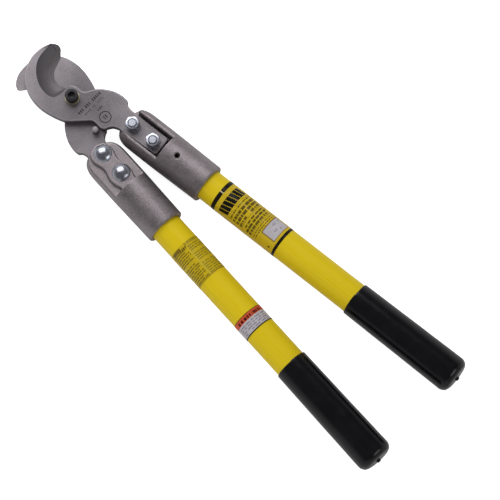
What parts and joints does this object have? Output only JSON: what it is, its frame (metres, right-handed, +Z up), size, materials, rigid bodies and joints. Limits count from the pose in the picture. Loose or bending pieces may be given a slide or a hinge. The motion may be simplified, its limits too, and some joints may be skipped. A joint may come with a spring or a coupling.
{
  "type": "two-handed cable cutter",
  "caption": "Long-handle cable cutter: crossed steel hook blades on a pivot screw, cast sockets, yellow fibreglass tube handles and black vinyl grips.",
  "frame": {"origin": "under the middle of the closed tool, on the surface that it lies on", "axes": "+Y along the tool towards the jaws, +Z up along the pivot axis, +X towards the handle whose bolt nuts face up"},
  "size_m": [0.1436, 0.5202, 0.0414],
  "materials": {
    "forged_steel": "satin, blasted, with ground bevels",
    "cast_aluminium": "satin sand-cast",
    "zinc_plate": "bright zinc plated",
    "black_oxide": "black oxide, lightly oiled",
    "brass": "satin",
    "yellow_fibreglass": "satin gloss resin",
    "foam_core": "matt foam",
    "black_vinyl": "glossy dipped vinyl",
    "amber_label": "printed gloss foil",
    "warning_label": "printed gloss foil"
  },
  "bodies": {
    "left_half": {"back_blade": "forged_steel", "stop_pin": "forged_steel", "pivot_screw": "black_oxide", "pivot_nut": "black_oxide", "pivot_washer_front": "brass", "pivot_washer_back": "brass", "left_socket": "cast_aluminium", "left_tube": "yellow_fibreglass", "left_foam_core": "foam_core", "left_grip": "black_vinyl", "left_roll_pin": "forged_steel", "left_front_bolt": "zinc_plate", "left_rear_bolt": "zinc_plate", "left_front_washer": "zinc_plate", "left_rear_washer": "zinc_plate", "left_front_nut": "zinc_plate", "left_rear_nut": "zinc_plate", "left_label": "amber_label", "left_warning_label": "warning_label"},
    "right_half": {"front_blade": "forged_steel", "right_socket": "cast_aluminium", "right_tube": "yellow_fibreglass", "right_foam_core": "foam_core", "right_grip": "black_vinyl", "right_roll_pin": "forged_steel", "right_front_bolt": "zinc_plate", "right_rear_bolt": "zinc_plate", "right_front_washer": "zinc_plate", "right_rear_washer": "zinc_plate", "right_front_nut": "zinc_plate", "right_rear_nut": "zinc_plate", "right_label": "amber_label"}
  },
  "joints": [
    {"name": "jaw_pivot", "type": "hinge", "parent": "left_half", "child": "right_half", "pos_m": [0, 0.2014, 0.0207], "axis": [0, 0, 1], "range_deg": [-2, 100]}
  ]
}
